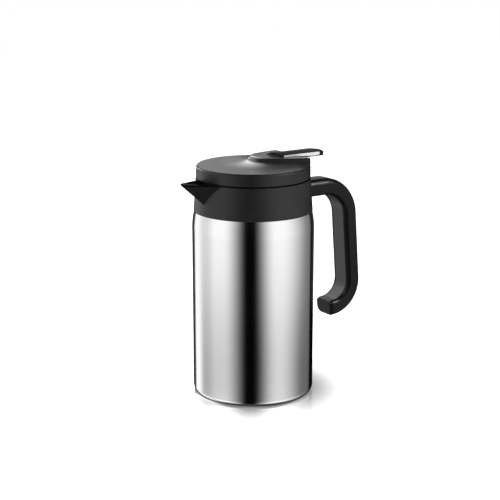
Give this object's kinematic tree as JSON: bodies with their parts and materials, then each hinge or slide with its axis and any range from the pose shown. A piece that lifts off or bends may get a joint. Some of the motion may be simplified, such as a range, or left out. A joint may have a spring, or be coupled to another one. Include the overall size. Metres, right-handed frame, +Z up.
{
  "type": "thermal carafe",
  "caption": "Vacuum-insulated steel carafe with a beak spout, an open hooked handle and a screw lid whose thumb lever opens a spring-closed pour valve.",
  "frame": {"origin": "on the table, under the flask's axis", "axes": "+Z up along the flask's axis, +X towards the handle, -X towards the spout, Y across"},
  "size_m": [0.1872, 0.106, 0.2097],
  "materials": {
    "brushed_steel": "brushed round the body",
    "foil": "bright foil",
    "getter_metal": "dull",
    "black_plastic": "fine satin",
    "cover_plastic": "fine satin",
    "silicone": "matte",
    "screw_steel": "plain",
    "bright_metal": "bright",
    "valve_plastic": "satin"
  },
  "bodies": {
    "flask": {"outer_shell": "brushed_steel", "base_cup": "brushed_steel", "inner_flask": "brushed_steel", "heat_shield": "foil", "getter": "getter_metal", "vacuum_seal": "getter_metal", "collar": "black_plastic", "collar_seal": "silicone", "handle_shell": "black_plastic", "handle_cover": "cover_plastic", "handle_screws": "screw_steel"},
    "seal": {"stopper_seal": "silicone"},
    "lid": {"lid_body": "black_plastic", "lid_cover": "black_plastic", "stopper": "black_plastic", "stopper_screws": "screw_steel", "lever_pin": "screw_steel", "valve_spring": "screw_steel"},
    "lever": {"lever": "black_plastic", "lever_trim": "bright_metal"},
    "valve": {"valve_stem": "valve_plastic", "valve_seal": "silicone", "stem_cap": "valve_plastic"}
  },
  "joints": [
    {"name": "lid_lift", "type": "slide", "parent": "flask", "child": "seal", "axis": [0, 0, 1], "range_m": [0, 0.0211]},
    {"name": "lid_turn", "type": "hinge", "parent": "seal", "child": "lid", "pos_m": [0, 0, 0.19], "axis": [0, 0, 1], "range_deg": [0, 630]},
    {"name": "lever_press", "type": "hinge", "parent": "lid", "child": "lever", "pos_m": [0.0228, 0, 0.2048], "axis": [0, 1, 0], "range_deg": [0, 6.5], "stiffness_Nm_per_rad": 1.5, "springref_deg": -5.73},
    {"name": "valve_lift", "type": "slide", "parent": "lid", "child": "valve", "axis": [0, 0, 1], "range_m": [0, 0.0029], "deforming": ["valve_spring"]}
  ],
  "couplings": [
    {"joint": "lid_lift", "follows": "lid_turn", "m_per_rad": 0.0019099},
    {"joint": "valve_lift", "follows": "lever_press", "m_per_rad": 0.0253}
  ]
}
